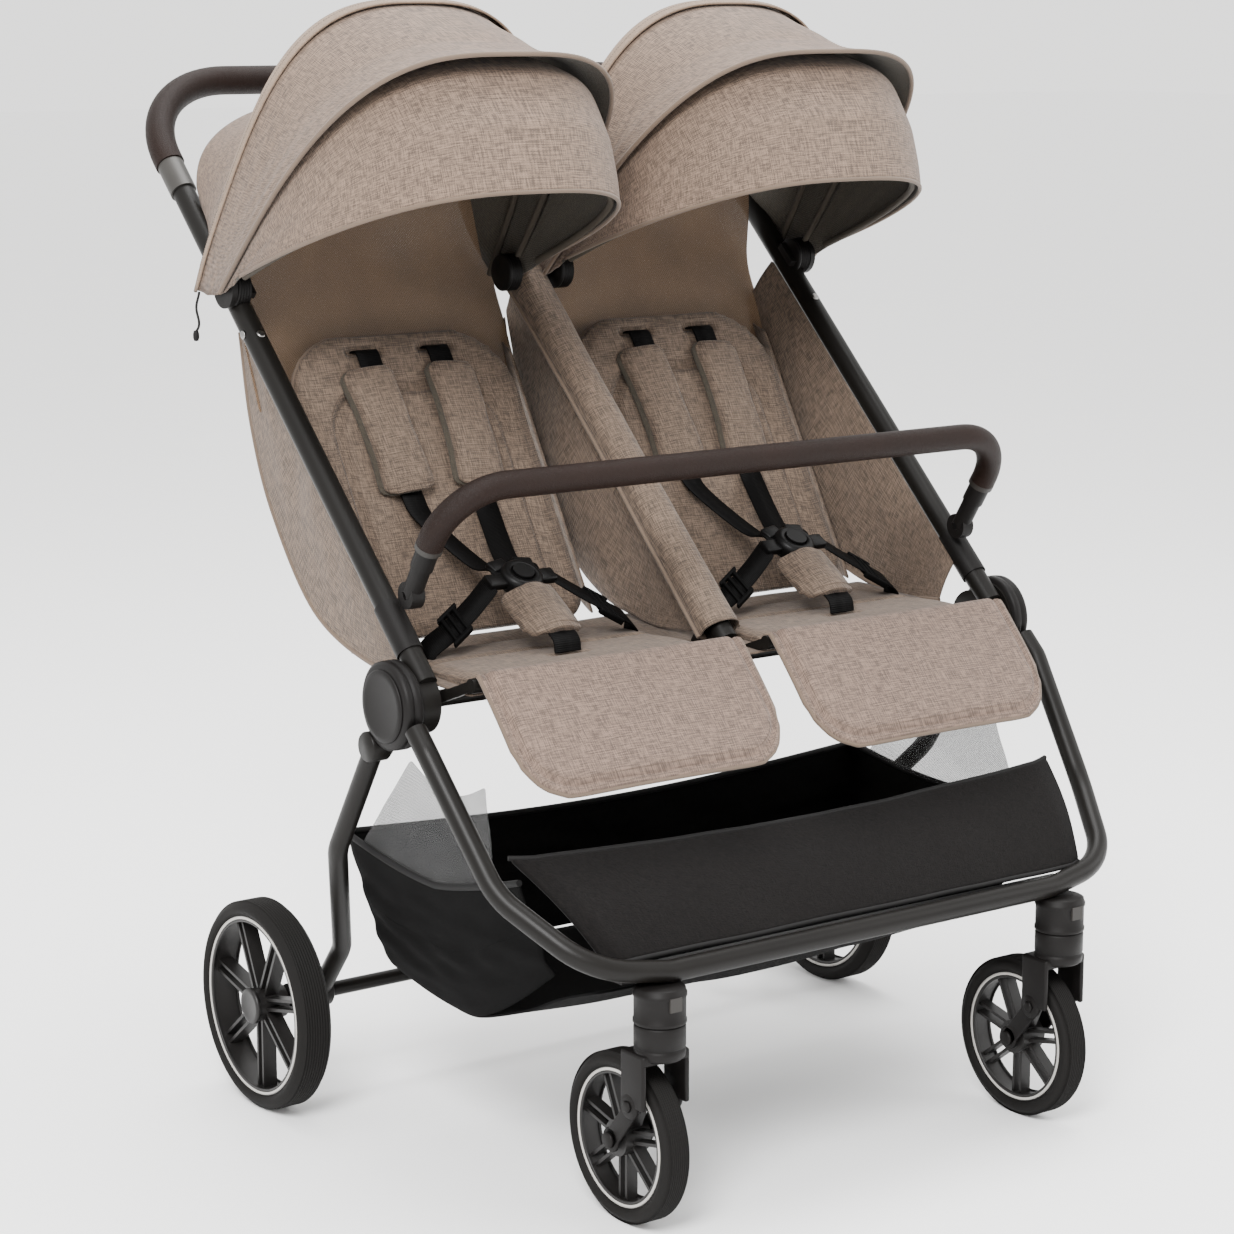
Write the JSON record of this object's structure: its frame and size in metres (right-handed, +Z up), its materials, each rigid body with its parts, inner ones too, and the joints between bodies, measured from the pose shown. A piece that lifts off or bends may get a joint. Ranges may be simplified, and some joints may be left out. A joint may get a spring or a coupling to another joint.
{
  "type": "twin stroller",
  "caption": "Side-by-side twin travel stroller with folding canopies, reclining seats, leg rests, a bumper bar, a basket and swivelling front wheels; it folds at two hubs.",
  "frame": {"origin": "on the floor, midway between the front tyres and the back of the handle, in the middle of the width", "axes": "+X across the stroller, to the right as seen from in front of the seats; -Y the way the seats face; +Z up"},
  "size_m": [0.771, 0.8359, 1.108],
  "materials": {
    "frame_paint": "satin",
    "hub_plastic": "matte",
    "trim_plastic": "satin",
    "button_plastic": "satin",
    "leather": "satin",
    "alloy": "satin",
    "seat_cloth": "woven melange",
    "canopy_cloth": "woven melange",
    "rest_cloth": "woven melange",
    "basket_cloth": "smooth woven",
    "panel_cloth": "woven",
    "tyre": "matte",
    "rim_plastic": "satin"
  },
  "bodies": {
    "front_frame": {"front_tube": "frame_paint", "hub_plates": "frame_paint", "hub_shells": "hub_plastic", "hub_caps": "hub_plastic", "seat_rails": "frame_paint", "seat_pad_left": "seat_cloth", "seat_pad_right": "seat_cloth", "crotch_pads": "seat_cloth", "buckles": "trim_plastic", "caster_sockets": "hub_plastic", "basket": "basket_cloth", "basket_front": "panel_cloth", "front_ledge": "hub_plastic"},
    "push_frame": {"push_tubes": "frame_paint", "handle_grip": "leather", "handle_clips": "alloy", "trigger_housing": "hub_plastic", "canopy_mounts": "hub_plastic", "canopy_rear_left": "canopy_cloth", "canopy_rear_right": "canopy_cloth", "seat_wings": "seat_cloth"},
    "fold_trigger": {"fold_trigger": "button_plastic"},
    "fold_button": {"fold_button": "button_plastic"},
    "buckle_button_left": {"buckle_button_left": "button_plastic"},
    "buckle_button_right": {"buckle_button_right": "button_plastic"},
    "caster_release_left": {"caster_release_left": "button_plastic"},
    "caster_release_right": {"caster_release_right": "button_plastic"},
    "rear_frame": {"rear_legs": "frame_paint", "rear_cross_tube": "frame_paint", "brake_housings": "hub_plastic"},
    "brake_pedal": {"brake_pedal": "button_plastic"},
    "guard_brackets": {"guard_brackets": "hub_plastic"},
    "guard_bar": {"guard_adapters": "hub_plastic", "guard_bar": "leather"},
    "backrest_left": {"backrest_left": "seat_cloth", "shoulder_pads_left": "seat_cloth"},
    "leg_rest_left": {"leg_rest_left": "rest_cloth"},
    "canopy_left": {"canopy_front_left": "canopy_cloth"},
    "visor_left": {"visor_left": "canopy_cloth"},
    "rear_wheel_left": {"rear_tyre_left": "tyre", "rear_rim_left": "rim_plastic"},
    "caster_left": {"fork_left": "hub_plastic"},
    "swing_arm_left": {"swing_arm_left": "hub_plastic"},
    "front_wheel_left": {"front_tyre_left": "tyre", "front_rim_left": "rim_plastic"},
    "backrest_right": {"backrest_right": "seat_cloth", "shoulder_pads_right": "seat_cloth"},
    "leg_rest_right": {"leg_rest_right": "rest_cloth"},
    "canopy_right": {"canopy_front_right": "canopy_cloth"},
    "visor_right": {"visor_right": "canopy_cloth"},
    "rear_wheel_right": {"rear_tyre_right": "tyre", "rear_rim_right": "rim_plastic"},
    "caster_right": {"fork_right": "hub_plastic"},
    "swing_arm_right": {"swing_arm_right": "hub_plastic"},
    "front_wheel_right": {"front_tyre_right": "tyre", "front_rim_right": "rim_plastic"}
  },
  "joints": [
    {"name": "fold", "type": "hinge", "parent": "front_frame", "child": "push_frame", "pos_m": [0, -0.143, 0.466], "axis": [1, 0, 0], "range_deg": [0, 142], "deforming": ["seat_wings"]},
    {"name": "rear_fold", "type": "hinge", "parent": "front_frame", "child": "rear_frame", "pos_m": [0, -0.113, 0.422], "axis": [1, 0, 0], "range_deg": [-51.12, 0]},
    {"name": "guard_fold", "type": "hinge", "parent": "push_frame", "child": "guard_brackets", "pos_m": [0, -0.12279, 0.56238], "axis": [1, 0, 0], "range_deg": [-78.38, 0]},
    {"name": "guard_pull_off", "type": "slide", "parent": "guard_brackets", "child": "guard_bar", "axis": [0, -0.5388, 0.8425], "range_m": [0, 0.03]},
    {"name": "fold_trigger_pull", "type": "slide", "parent": "push_frame", "child": "fold_trigger", "axis": [0, 0.7254, 0.6884], "range_m": [0, 0.008], "stiffness_N_per_m": 800, "springref_m": -0.004},
    {"name": "fold_button_press", "type": "slide", "parent": "push_frame", "child": "fold_button", "axis": [0, 0.6884, -0.7254], "range_m": [0, 0.003], "stiffness_N_per_m": 700, "springref_m": -0.002},
    {"name": "recline_left", "type": "hinge", "parent": "push_frame", "child": "backrest_left", "pos_m": [-0.17, 0.01276, 0.47343], "axis": [-1, 0, 0], "range_deg": [0, 30]},
    {"name": "leg_rest_left", "type": "hinge", "parent": "front_frame", "child": "leg_rest_left", "pos_m": [-0.169, -0.201, 0.488], "axis": [1, 0, 0], "range_deg": [-50, 15]},
    {"name": "canopy_left", "type": "hinge", "parent": "push_frame", "child": "canopy_left", "pos_m": [-0.192, 0.17765, 0.82542], "axis": [-1, 0, 0], "range_deg": [0, 26]},
    {"name": "visor_left", "type": "hinge", "parent": "canopy_left", "child": "visor_left", "pos_m": [-0.192, 0.17765, 0.82542], "axis": [-1, 0, 0], "range_deg": [0, 26]},
    {"name": "buckle_press_left", "type": "slide", "parent": "front_frame", "child": "buckle_button_left", "axis": [0, 0.5736, -0.8192], "range_m": [0, 0.0025], "stiffness_N_per_m": 700, "springref_m": -0.002},
    {"name": "caster_release_left", "type": "slide", "parent": "front_frame", "child": "caster_release_left", "axis": [0, 1, 0], "range_m": [0, 0.0025], "stiffness_N_per_m": 700, "springref_m": -0.002},
    {"name": "rear_spin_left", "type": "hinge", "parent": "rear_frame", "child": "rear_wheel_left", "pos_m": [-0.3665, 0.123, 0.107], "axis": [1, 0, 0], "continuous": true},
    {"name": "caster_swivel_left", "type": "hinge", "parent": "front_frame", "child": "caster_left", "pos_m": [-0.2445, -0.3855, 0.2], "axis": [0, 0, 1], "continuous": true},
    {"name": "suspension_left", "type": "hinge", "parent": "caster_left", "child": "swing_arm_left", "pos_m": [-0.2445, -0.3735, 0.125], "axis": [1, 0, 0], "range_deg": [0, 8], "stiffness_Nm_per_rad": 60, "springref_deg": -14.32},
    {"name": "front_spin_left", "type": "hinge", "parent": "swing_arm_left", "child": "front_wheel_left", "pos_m": [-0.2445, -0.337, 0.081], "axis": [1, 0, 0], "continuous": true},
    {"name": "recline_right", "type": "hinge", "parent": "push_frame", "child": "backrest_right", "pos_m": [0.17, 0.01276, 0.47343], "axis": [-1, 0, 0], "range_deg": [0, 30]},
    {"name": "leg_rest_right", "type": "hinge", "parent": "front_frame", "child": "leg_rest_right", "pos_m": [0.169, -0.201, 0.488], "axis": [1, 0, 0], "range_deg": [-50, 15]},
    {"name": "canopy_right", "type": "hinge", "parent": "push_frame", "child": "canopy_right", "pos_m": [0.192, 0.17765, 0.82542], "axis": [-1, 0, 0], "range_deg": [0, 26]},
    {"name": "visor_right", "type": "hinge", "parent": "canopy_right", "child": "visor_right", "pos_m": [0.192, 0.17765, 0.82542], "axis": [-1, 0, 0], "range_deg": [0, 26]},
    {"name": "buckle_press_right", "type": "slide", "parent": "front_frame", "child": "buckle_button_right", "axis": [0, 0.5736, -0.8192], "range_m": [0, 0.0025], "stiffness_N_per_m": 700, "springref_m": -0.002},
    {"name": "caster_release_right", "type": "slide", "parent": "front_frame", "child": "caster_release_right", "axis": [0, 1, 0], "range_m": [0, 0.0025], "stiffness_N_per_m": 700, "springref_m": -0.002},
    {"name": "rear_spin_right", "type": "hinge", "parent": "rear_frame", "child": "rear_wheel_right", "pos_m": [0.3665, 0.123, 0.107], "axis": [1, 0, 0], "continuous": true},
    {"name": "caster_swivel_right", "type": "hinge", "parent": "front_frame", "child": "caster_right", "pos_m": [0.2445, -0.3855, 0.2], "axis": [0, 0, 1], "continuous": true},
    {"name": "suspension_right", "type": "hinge", "parent": "caster_right", "child": "swing_arm_right", "pos_m": [0.2445, -0.3735, 0.125], "axis": [1, 0, 0], "range_deg": [0, 8], "stiffness_Nm_per_rad": 60, "springref_deg": -14.32},
    {"name": "front_spin_right", "type": "hinge", "parent": "swing_arm_right", "child": "front_wheel_right", "pos_m": [0.2445, -0.337, 0.081], "axis": [1, 0, 0], "continuous": true},
    {"name": "brake_press", "type": "hinge", "parent": "rear_frame", "child": "brake_pedal", "pos_m": [0.264, 0.123, 0.107], "axis": [-1, 0, 0], "range_deg": [0, 20]}
  ],
  "couplings": [
    {"joint": "rear_fold", "follows": "fold", "ratio": -0.36},
    {"joint": "guard_fold", "follows": "fold", "ratio": -0.552}
  ]
}
